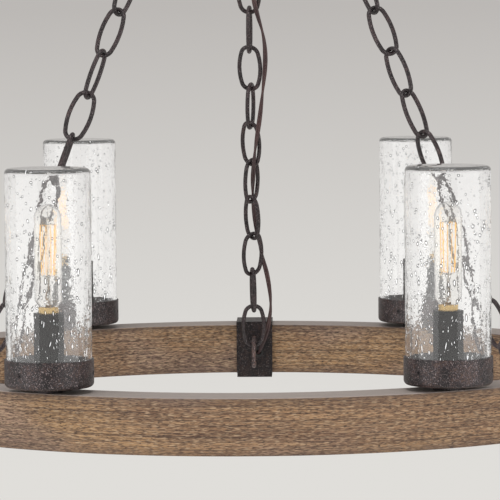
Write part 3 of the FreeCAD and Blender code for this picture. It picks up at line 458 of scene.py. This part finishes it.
def makeBulbGlass():
    # the clear envelope, with a painted warm glow round its middle where the filament is, and a painted dark
    # outline seen edge on
    f = Finish("bulb_clear_glass")
    z = f.parts(f.place())[2]
    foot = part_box("bulb_glass_1")[0][2] + bulb["cageFoot"]
    head = foot + bulb["cageLength"]
    (below, above), (under, over) = bulbLook["paintedHazeFade"]
    # painted glow: a warm emission band on the glass round the filament
    paintedHaze = f.mask(z, foot + below, foot + above) * (1.0 - f.mask(z, head + under, head + over))
    warm = f.mix(paintedHaze, glassLook["black"], bulbLook["paintedHazeColour"])
    # painted shade: the envelope is tinted dark seen edge on, drawing its outline
    clear = f.mix(f.mask(f.facing(), 0.62, 0.88), bulbLook["clear"], bulbLook["rim"])
    return f.set(Base_Color=clear, Roughness=0.0, IOR=glassLook["bend"], Transmission_Weight=1.0,
                 Emission_Color=warm, Emission_Strength=bulbLook["paintedHaze"])


def makeGlow():
    f = Finish("lit_filament")
    flicker = f.mask(f.noise(f.place(), 160.0, 1.0, 0.5), 0.35, 0.65)
    return f.set(Base_Color=bulbLook["wire"], Roughness=0.4,
                 Emission_Color=f.mix(flicker, bulbLook["dull"], bulbLook["bright"]),
                 Emission_Strength=bulbLook["glow"])


# Plain finishes, with a fine speckle in colour, gloss and surface
plainRelief = 0.0004


def makePlain(name, colour, rough, metallic=0.0, grain=300.0, spread=0.25, bump=0.15):
    f = Finish(name)
    speckle = f.noise(f.place(), grain, 3.0, 0.6)
    level = f.mask(speckle, 0.3, 0.7)
    dull, bright = (tuple(min(c * (1 + change), 1) for c in colour) for change in (-spread, spread))
    return f.set(Base_Color=f.mix(level, dull, bright), Metallic=metallic, Roughness=level * 0.12 + rough,
                 Normal=f.bump(speckle, bump, plainRelief))


# Lead cover: brown cloth-like sleeve, worn pale in places
leadLook = dict(dark=(0.038, 0.017, 0.018), brown=(0.072, 0.033, 0.031), worn=(0.15, 0.09, 0.085), fine=700.0,
                slow=30.0, relief=0.0003)


def makeLeadCover():
    f = Finish("lead_cover")
    where = f.place()
    fine = f.noise(where, leadLook["fine"], 3.0, 0.6)
    slow = f.noise(where, leadLook["slow"], 2.0, 0.5)
    brown = f.mix(f.mask(slow, 0.35, 0.65), leadLook["dark"], leadLook["brown"])
    worn = f.mix(f.mask(fine, 0.55, 0.7) * 0.3, brown, leadLook["worn"])
    return f.set(Base_Color=worn, Roughness=f.mask(fine, 0.3, 0.7) * 0.15 + 0.42,
                 Normal=f.bump(fine, 0.3, leadLook["relief"]))


wood = makeWood()
chainSteel, cupSteel, saddleSteel, stapleSteel, spacerSteel, tubeSteel, canopySteel = (
    makeRustedSteel(name, **kind) for name, kind in steelKinds.items())
shadeGlass = makeGlass("seeded_glass", glassLook["clear"], waves=0.26, paintedGlow=0.020, mirror=0.3, edge=0.58)
seedGlass = makeSeedGlass()
bulbGlass = makeBulbGlass()
stemGlass = makeGlass("stem_clear_glass", (0.97, 0.97, 0.95), rough=0.02)
brass = makePlain("satin_brass", (0.78, 0.55, 0.24), 0.22, metallic=1.0, grain=500.0, spread=0.12, bump=0.1)
leadWire = makePlain("lead_in_wire", (0.35, 0.32, 0.30), 0.35, metallic=1.0, grain=600.0)
glow = makeGlow()
holderPlastic = makePlain("black_moulding", (0.022, 0.022, 0.024), 0.42, grain=260.0)
zincSteel = makePlain("zinc_plate", (0.56, 0.56, 0.54), 0.32, metallic=1.0, grain=220.0)
blackRubber = makePlain("black_rubber", (0.022, 0.021, 0.02), 0.72, grain=350.0)
paleInsulation = makePlain("pale_insulation", (0.62, 0.60, 0.56), 0.45)
leadCover = makeLeadCover()
print("finishes ready")

# Leads: two strands in one cover, and the route's corners, in metres
lead = dict(width=0.0064, strand=0.0016, twistLength=0.085, steps=7, sides=24, waist=0.42, waistReach=0.17,
            startTurn=0.3)
canopyLeadRoute = [
    (0.0002, 0.0001, 0), (0, 0.0002, -0.017), (0.0002, 0, -0.037), (0, 0, -0.057), (0.007, 0.0085, -0.071),
    (0.0086, 0.011, -0.094), (0.0082, 0.0102, -0.12), (0.008, 0.0094, -0.1446),
]
supplyLeadRoute = [
    (0.008, 0.0095, -0.145), (0.008, 0.017, -0.1775), (0.0081, 0.0265, -0.212), (0.0079, 0.0306, -0.24),
    (0.0081, 0.0338, -0.2664), (0.0093, 0.0441, -0.3007), (0.0081, 0.0643, -0.3368), (0.0085, 0.0892, -0.3649),
    (0.0104, 0.109, -0.3992), (0.015, 0.1306, -0.445), (0.0145, 0.1496, -0.4899), (0.0101, 0.162, -0.53),
    (0.0085, 0.1648, -0.5605), (0.0138, 0.1698, -0.585), (0.0229, 0.1862, -0.6141), (0.0252, 0.2011, -0.647),
    (0.0211, 0.2161, -0.6857), (0.0162, 0.2302, -0.7287), (0.0102, 0.2423, -0.7642), (0.0077, 0.2631, -0.7964),
    (0.0062, 0.3082, -0.8287), (0.0103, 0.3208, -0.8699), (0.0178, 0.3413, -0.9125), (0.0265, 0.3445, -0.9415),
    (0.0314, 0.3573, -0.9811), (0.0284, 0.3739, -1.0089), (0.0219, 0.39, -1.0337), (0.014, 0.4078, -1.0549),
    (0.014, 0.434, -1.0549), (0.0145, 0.4595, -1.0554),
]


def splinePoints(name, route):
    curve = bpy.data.curves.new(name, "CURVE")
    curve.dimensions = "3D"
    curve.resolution_u = lead["steps"]
    spline = curve.splines.new("NURBS")
    spline.points.add(len(route) - 1)
    for point, place in zip(spline.points, route):
        point.co = (*place, 1)
    spline.order_u = 3
    spline.use_endpoint_u = True
    holder = addObject(name, curve)
    line = plainMesh(holder)
    points = [corner.co.copy() for corner in line.vertices]
    bpy.data.objects.remove(holder)
    bpy.data.meshes.remove(line)
    return points


def strandOutline():
    # the outline of two circles that touch, with a groove between them
    outline = []
    for angle in turns(lead["sides"]):
        reach = math.cos(angle)
        x = math.copysign(lead["strand"] * (1 + math.cos(2 * angle)), reach)
        y = lead["strand"] * math.sin(2 * angle) * (1 if reach > 0 else -1)
        if abs(reach) < lead["waistReach"]:
            x, y = 0, math.copysign(lead["strand"] * lead["waist"], math.sin(angle))
        outline.append((x, y))
    return outline


def addLead(name, route, node):
    # two round strands side by side, twisting slowly along the line
    points = splinePoints(name + "_line", route)
    outline = strandOutline()
    build = bmesh.new()
    normal = Vector((0, 1, 0))
    run = 0
    rings = []
    for i, point in enumerate(points):
        along, normal = frameAt(points, i, normal)
        if i:
            run += (point - points[i - 1]).length
        turn = lead["startTurn"] + run / lead["twistLength"] * math.pi
        wide = normal * math.cos(turn) + along.cross(normal) * math.sin(turn)
        flat = along.cross(wide)
        rings.append([build.verts.new(point + wide * x + flat * y) for x, y in outline])
    joinRings(build, rings)
    capEnds(build, rings)
    piece = addPiece(name, meshFrom(build, name), None, leadCover, (node,))
    return piece, points, run


canopyLead, canopyLine, canopyRun = addLead("canopy_lead_cord", canopyLeadRoute, "canopy_lead")
supplyLead, supplyLine, supplyRun = addLead("supply_lead_cord", supplyLeadRoute, "supply_lead")
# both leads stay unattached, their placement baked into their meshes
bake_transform(canopyLead)
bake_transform(supplyLead)
print("leads", round(canopyRun, 3), round(supplyRun, 3))

# Finishes on the CAD pieces
nodeFinish = {
    "ring_body": wood, "channel_cover": spacerSteel, "cover_screws": zincSteel, "gathering_ring": chainSteel,
    "top_link": chainSteel, "chain_left": chainSteel, "chain_back": chainSteel, "chain_right": chainSteel,
    "chain_saddle_left": saddleSteel, "chain_saddle_back": saddleSteel, "chain_saddle_right": saddleSteel,
    "chain_staples": stapleSteel, "lead_grommet": blackRubber, "ring_wiring": paleInsulation,
    "cup_spacers": spacerSteel, "socket_tubes": tubeSteel, "lampholders": holderPlastic,
    "cup_set_screws": spacerSteel, "glass_gaskets": blackRubber, "socket_nipples": zincSteel,
    "socket_nuts": zincSteel, "ceiling_crossbar": zincSteel, "canopy_nipple": zincSteel,
    "nipple_lock_nut": zincSteel, "canopy": canopySteel, "canopy_gasket": blackRubber,
    "canopy_collar": canopySteel, "canopy_loop": canopySteel,
}
lampFinish = {"shade_cup": cupSteel, "bulb_base": brass, "bulb_filament": stemGlass, "bulb_glass": bulbGlass,
              "shade_glass": shadeGlass}
nodeFinish.update({
    f"{node}_{number}": material for number in lampNumbers for node, material in lampFinish.items()})


def dress(node, material):
    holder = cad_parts[node]
    for slotItem in holder.material_slots:
        slotItem.material = material
    if not holder.material_slots:
        holder.data.materials.append(material)


for node, material in nodeFinish.items():
    dress(node, material)

# Chains: a weld closes the sawn gap in each link
weld = dict(wire=0.00275, share=0.95, overlap=0.0001, reach=0.002, sides=12, merge=1e-6, flat=0.9999,
            leastArea=0.85, mostArea=1.05, widest=1.1)
linkBodies = {"chain_left": "chandelier", "chain_back": "chandelier", "chain_right": "chandelier",
              "top_link": "top_link"}


def flatRegion(first, seen):
    # the faces round the first one that lie in its plane
    seen.add(first.index)
    region, queue = [], [first]
    while queue:
        face = queue.pop()
        region.append(face)
        for near in (near for edge in face.edges for near in edge.link_faces):
            if near.index not in seen and near.normal.dot(first.normal) > weld["flat"]:
                seen.add(near.index)
                queue.append(near)
    return region


def linkEnds(node):
    # the round end faces of the links, found in a merged copy of the CAD mesh
    build = bmesh.new()
    build.from_mesh(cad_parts[node].data)
    bmesh.ops.remove_doubles(build, verts=build.verts, dist=weld["merge"])
    build.faces.index_update()
    disc = math.pi * weld["wire"] ** 2
    seen, ends = set(), []
    for first in build.faces:
        if first.index in seen:
            continue
        region = flatRegion(first, seen)
        area = sum(face.calc_area() for face in region)
        if not weld["leastArea"] * disc < area < weld["mostArea"] * disc:
            continue
        middle = sum((face.calc_center_median() * face.calc_area() for face in region), Vector()) / area
        widest = max((corner.co - middle).length for face in region for corner in face.verts)
        if widest < weld["wire"] * weld["widest"]:
            ends.append(middle)
    build.free()
    return ends


def closeLinks(node, body):
    ends = linkEnds(node)
    build = bmesh.new()
    count = 0
    while ends:
        first = ends.pop()
        near = [end for end in ends if (end - first).length < weld["reach"]]
        if near:
            ends.remove(near[0])
            along = (near[0] - first).normalized() * weld["overlap"]
            sweepWire(build, [first - along, near[0] + along], weld["wire"] * weld["share"], weld["sides"])
            count += 1
    if count:
        addPiece(f"{node}_welds", meshFrom(build, "welds"), body, chainSteel, ())
    return count


print("welds in the links", [closeLinks(node, body) for node, body in linkBodies.items()])

# Shades: thick seeded glass with a closed, rounded top
shade = dict(radius=0.05, wall=0.0045, top=0.005, shoulder=0.006, rim=0.0015, sides=128, rows=12,
             shoulderSteps=10, innerSteps=8, rimSteps=4)


def makeShade(number):
    centre, tall = boxMiddle(f"shade_glass_{number}")
    outer, inner = shade["radius"], shade["radius"] - shade["wall"]
    rim, shoulder, rows = shade["rim"], shade["shoulder"], shade["rows"]
    innerShoulder = shoulder - shade["wall"]
    ceiling = tall - shade["top"]
    profile = [(0, tall)]
    profile += arcPoints(outer - shoulder, tall - shoulder, shoulder, 90, 0, shade["shoulderSteps"])
    profile += [(outer, tall * k / rows) for k in range(rows - 2, 0, -1)]
    profile += arcPoints(outer - rim, rim, rim, 0, -90, shade["rimSteps"])
    profile += arcPoints(inner + rim, rim, rim, -90, -180, shade["rimSteps"])
    profile += [(inner, tall * k / rows) for k in range(1, rows - 1)]
    profile += arcPoints(inner - innerShoulder, ceiling - innerShoulder, innerShoulder, 0, 90,
                         shade["innerSteps"])
    profile += [(0, ceiling)]
    name = f"seeded_shade_{number}"
    addPiece(name, lathe(name, profile, centre, shade["sides"]), f"shade_{number}", shadeGlass,
             (f"shade_glass_{number}",))


# Seeds: a Geometry Nodes tree scatters small bubbles inside the wall, more and longer ones towards the foot
seeds = dict(count=700, small=0.00050, large=0.0018, least=0.5, more=2.0, gather=3.0, mostlySmall=2.6,
             longer=3.6, lean=0.25, turn=6.0, footGap=0.004, sides=64, crownGap=0.001, crownStart=0.55)


def seedTree():
    group = bpy.data.node_groups.new("glass_seeds", "GeometryNodeTree")
    face = group.interface
    face.new_socket("Geometry", in_out="INPUT", socket_type="NodeSocketGeometry")
    sockets = {}
    for title, kind in (("Density", "Float"), ("Small", "Float"), ("Large", "Float"), ("Foot", "Float"),
                        ("Height", "Float"), ("Seed", "Int"), ("Finish", "Material")):
        sockets[title] = face.new_socket(title, in_out="INPUT", socket_type="NodeSocket" + kind).identifier
    face.new_socket("Geometry", in_out="OUTPUT", socket_type="NodeSocketGeometry")
    tree = Tree(group)

    def roll(seed):
        # a random number from 0 to 1 for each bubble
        return tree.add("FunctionNodeRandomValue", {"data_type": "FLOAT"}, {2: 0.0, 3: 1.0, "Seed": seed}, 1)

    source = tree.add("NodeGroupInput")
    z = tree.parts(tree.add("GeometryNodeInputPosition"))[2]
    depth = tree.maths("MAXIMUM", 1.0 - (z - source.out("Foot")) / source.out("Height"), 0.0)
    crowd = depth ** seeds["gather"] * seeds["more"] + seeds["least"]
    spots = tree.add("GeometryNodeDistributePointsOnFaces", {"distribute_method": "RANDOM"}, {
        "Mesh": source.out("Geometry"), "Density": crowd * source.out("Density"), "Seed": source.out("Seed")})
    small = source.out("Small")
    radius = small + roll(3) ** seeds["mostlySmall"] * (source.out("Large") - small)
    longer = depth * roll(8) * seeds["longer"] + 1.0
    lean = seeds["lean"]
    tilt = tree.add("FunctionNodeRandomValue", {"data_type": "FLOAT_VECTOR"}, {
        0: (-lean, -lean, 0.0), 1: (lean, lean, seeds["turn"]), "Seed": 5})
    bubble = tree.add("GeometryNodeMeshUVSphere", None, {"Radius": 1.0, "Segments": 8, "Rings": 5})
    smooth = tree.add("GeometryNodeSetShadeSmooth", None, {0: bubble})
    copies = tree.add("GeometryNodeInstanceOnPoints", None, {
        "Points": spots, "Instance": smooth, "Rotation": tilt,
        "Scale": tree.vector(radius, radius, radius * longer)})
    solid = tree.add("GeometryNodeRealizeInstances", None, {0: copies})
    finish = tree.add("GeometryNodeSetMaterial", None, {0: solid, "Material": source.out("Finish")})
    tree.add("NodeGroupOutput", None, {0: finish})
    return group, sockets


def growMesh(carrier, group, sockets, values, name):
    # runs a Geometry Nodes tree on a carrier mesh and returns its result as a plain mesh
    holder = addObject(name + "_carrier", carrier)
    modifier = holder.modifiers.new("growth", "NODES")
    modifier.node_group = group
    for title, value in values.items():
        modifier[sockets[title]] = value
    mesh = plainMesh(holder)
    holder.modifiers.clear()
    bpy.data.objects.remove(holder)
    mesh.name = name
    return mesh


def makeSeeds(number):
    # the bubbles grow on a sheet in the middle of the wall
    centre, tall = boxMiddle(f"shade_glass_{number}")
    middle = shade["radius"] - shade["wall"] / 2
    margin = shade["shoulder"]
    crown = tall - shade["top"] / 2
    profile = [(middle, seeds["footGap"]), (middle, tall - margin),
               (middle - margin * seeds["crownStart"], crown - seeds["crownGap"]), (0, crown)]
    name = f"glass_seeds_{number}"
    area = 2 * math.pi * middle * tall
    mesh = growMesh(lathe("seed_sheet", profile, centre, seeds["sides"]), seedNodes, seedSockets, {
        "Density": seeds["count"] / area, "Small": seeds["small"], "Large": seeds["large"],
        "Foot": centre[2], "Height": tall, "Seed": 11 * number, "Finish": seedGlass}, name)
    addPiece(name, mesh, f"shade_{number}", None, ())


seedNodes, seedSockets = seedTree()
for number in lampNumbers:
    makeShade(number)
    makeSeeds(number)
print("shades and seeds made")

# Bulbs: clear tube, glass stem, lead-in wires and a cage of lit filament
stemFoot = [(0, 0.0006), (0.0086, 0.0006), (0.0084, 0.0024), (0.0062, 0.0052), (bulb["stemRadius"], 0.011),
            (bulb["stemRadius"], 0.026), (0.0029, 0.031), (0.0026, 0.036), (0.0013, 0.040)]
stemTip = [(0.0011, 0.004), (0.0016, 0.006), (0.0009, 0.008), (0, 0.0083)]
cage = dict(firstTurn=0.25, nextTurn=0.7, sweep=0.96, lean=0.04, leanStep=3.1, sag=0.0006, bow=0.0005,
            steps=8)
hook = dict(wire=0.00022, sides=5, inner=0.0008, bend=0.6, above=0.0012, below=0.002, rise=0.0004, tip=0.0006,
            drop=0.0008)
leadIn = dict(wire=0.0003, places=[(0.0016, 0.028), (0.0019, 0.040), (0.0052, 0.047)])
coil = dict(wire=0.00024, radius=0.0011, swing=0.0003, swingStep=0.5, turn=1.2, rise=0.0006, foot=0.006,
            points=16)


def makeEnvelope(number):
    centre = Vector(boxMiddle(f"bulb_glass_{number}")[0])
    radius, wall, neck, tall = bulb["radius"], bulb["wall"], bulb["neck"], bulb["height"]
    inner, neckInner = radius - wall, neck - wall
    neckTop = bulb["neckHeight"]
    shoulder = neckTop + bulb["taper"]
    domeFoot, domeStart, steps = tall - radius, bulb["domeStart"], bulb["domeSteps"]
    profile = [(0, tall)] + arcPoints(0, domeFoot, radius, domeStart, 0, steps)
    # outer wall down to the neck, then the inner wall up, each with softened bends
    profile += [(radius, shoulder + 0.002), (radius - 0.0004, shoulder + 0.0005),
                (neck + 0.0004, neckTop + 0.0003), (neck, neckTop - 0.001), (neck, 0)]
    profile += [(neckInner, 0), (neckInner, neckTop - 0.0008), (neckInner + 0.0004, neckTop + 0.0006),
                (inner - 0.0003, shoulder + 0.0008), (inner, shoulder + 0.0024)]
    profile += arcPoints(0, domeFoot, inner, 0, domeStart, steps) + [(0, tall - wall)]
    name = f"bulb_envelope_{number}"
    addPiece(name, lathe(name, profile, centre, bulb["sides"]), f"bulb_{number}", bulbGlass,
             (f"bulb_glass_{number}",))


def makeBulbInside(number):
    centre = Vector(boxMiddle(f"bulb_glass_{number}")[0])
    body = f"bulb_{number}"
    foot, head = bulb["cageFoot"], bulb["cageFoot"] + bulb["cageLength"]
    upper, lower = bulb["cageRadius"], bulb["cageRadius"] * bulb["footShare"]
    turn = number * cage["nextTurn"] + cage["firstTurn"]
    wireAngles = [turn + angle * cage["sweep"] for angle in turns(bulb["cageWires"])]
    profile = stemFoot + [(radius, head + height) for radius, height in stemTip]
    addPiece(f"bulb_stem_{number}", lathe("stem", profile, centre, bulb["stemSides"]), body, stemGlass,
             (f"bulb_filament_{number}",))

    def spot(radius, angle, height):
        # a place round the bulb's axis
        return centre + Vector((radius * math.cos(angle), radius * math.sin(angle), height))

    # the filament runs up and down between the hooks
    line = []
    for k, angle in enumerate(wireAngles):
        leaning = angle + cage["lean"] * math.sin(cage["leanStep"] * k + number)
        pair = [spot(lower, angle, foot + cage["sag"] * (k % 3)), spot(upper, leaning, head)]
        if k % 2:
            pair.reverse()
        for a in range(cage["steps"] + 1):
            share = a / cage["steps"]
            bow = math.sin(math.pi * share) * cage["bow"]
            outwards = Vector((math.cos(angle) * bow, math.sin(angle) * bow, 0))
            line.append(pair[0].lerp(pair[1], share) + outwards)
    filament = bmesh.new()
    sweepWire(filament, line, bulb["wire"], bulb["wireSides"])
    addPiece(f"bulb_cage_{number}", meshFrom(filament, "cage"), body, glow, ())

    # hooks, the two lead-in wires and the coil at the tip
    wire = bmesh.new()
    for k, angle in enumerate(wireAngles):
        if k % 2:
            level, hub, reach = foot, foot - hook["below"], lower
        else:
            level, hub, reach = head, head + hook["above"], upper
        places = [(hook["inner"], hub), (reach * hook["bend"], hub + hook["rise"]), (reach, level),
                  (reach + hook["tip"], level - hook["drop"])]
        sweepWire(wire, [spot(radius, angle, height) for radius, height in places], hook["wire"], hook["sides"])
    for angle in (turn, turn + math.pi):
        places = leadIn["places"] + [(lower, foot)]
        sweepWire(wire, [spot(radius, angle, height) for radius, height in places], leadIn["wire"],
                  bulb["wireSides"])
    sweepWire(wire, [spot(coil["radius"] + coil["swing"] * math.sin(a * coil["swingStep"]),
                          turn + a * coil["turn"], head + coil["foot"] + coil["rise"] * a)
                     for a in range(coil["points"])], coil["wire"], hook["sides"])
    addPiece(f"bulb_hooks_{number}", meshFrom(wire, "hooks"), body, leadWire, ())


for number in lampNumbers:
    makeEnvelope(number)
    makeBulbInside(number)
print("bulbs made")

# Studio: a pale floor far below, an even world and soft lamps; what is seen of the world is a backdrop
studio = dict(high=(0.500, 0.480, 0.462), low=(0.745, 0.730, 0.700), fadeFoot=-0.135, fadeHead=-0.005,
              ease=1.5, glassPaintedBackdrop=(0.98, 0.98, 0.98), glassPaintedLift=0.33, worldLight=(1, 0.995, 0.985), world=0.40)
floorLook = dict(half=14.0, level=-4.5, pale=(0.78, 0.77, 0.75), dull=(0.74, 0.73, 0.71), lift=0.55)
lampTarget = Vector((0, 0, -1.0))
studioLamps = {
    "left_softbox": dict(place=(-3.0, -2.2, -1.0), size=(4.4, 3.6), power=74.0, mirrored=True),
    "right_softbox": dict(place=(3.0, -2.2, -1.0), size=(4.4, 3.6), power=74.0, mirrored=True),
    "front_softbox": dict(place=(0, -6.0, -0.6), size=(4.0, 3.0), power=36.0, mirrored=False),
    "top_softbox": dict(place=(-0.6, -1.2, 2.6), size=(3.0, 3.0), power=70.0, mirrored=True),
}


def makeWorld():
    world = bpy.data.worlds.new("studio")
    scene.world = world
    world.use_nodes = True
    world.node_tree.nodes.clear()
    tree = Tree(world.node_tree)
    z = tree.parts(tree.add("ShaderNodeTexCoord").out("Generated"))[2]
    fade = tree.mask(z, studio["fadeFoot"], studio["fadeHead"]) ** studio["ease"]
    backdrop = tree.mix(fade, studio["low"], studio["high"])
    # glass is shown a paler backdrop than the camera sees, a painted brightening of the glass
    throughGlass = tree.add("ShaderNodeLightPath").out("Is Transmission Ray")
    backdrop = tree.mix(throughGlass * studio["glassPaintedLift"], backdrop, studio["glassPaintedBackdrop"])
    light = tree.add("ShaderNodeBackground", None, {0: studio["worldLight"], 1: studio["world"]})
    seen = tree.add("ShaderNodeBackground", None, {0: backdrop})
    pick = tree.add("ShaderNodeMixShader", None, {0: tree.seenRays(), 1: light, 2: seen})
    tree.add("ShaderNodeOutputWorld", None, {0: pick})


def addLamp(name, place, size, power, mirrored):
    lamp = bpy.data.lights.new(name, "AREA")
    lamp.shape = "RECTANGLE"
    lamp.size, lamp.size_y = size
    lamp.energy = power
    holder = addObject(name, lamp)
    holder.location = place
    holder.visible_glossy = mirrored
    holder.visible_transmission = False
    holder.rotation_euler = (lampTarget - Vector(place)).to_track_quat("-Z", "Y").to_euler()


def addFloor():
    floor = bpy.data.meshes.new("floor")
    half, level = floorLook["half"], floorLook["level"]
    corners = [(x * half, y * half, level) for x, y in ((-1, -1), (1, -1), (1, 1), (-1, 1))]
    floor.from_pydata(corners, [], [(0, 1, 2, 3)])
    f = Finish("pale_floor")
    speckle = f.noise(f.place(), 3.0, 2.0, 0.5)
    # what the camera, metal and glass see of the floor is as pale as the backdrop
    lift = f.mix(f.seenRays(), (0.0, 0.0, 0.0), studio["low"])
    colour = f.mix(speckle, floorLook["dull"], floorLook["pale"])
    floor.materials.append(f.set(Base_Color=colour, Roughness=0.8, Emission_Color=lift,
                                 Emission_Strength=floorLook["lift"]))
    addObject("floor", floor)


makeWorld()
for name, look in studioLamps.items():
    addLamp(name, **look)
addFloor()
print("studio ready")
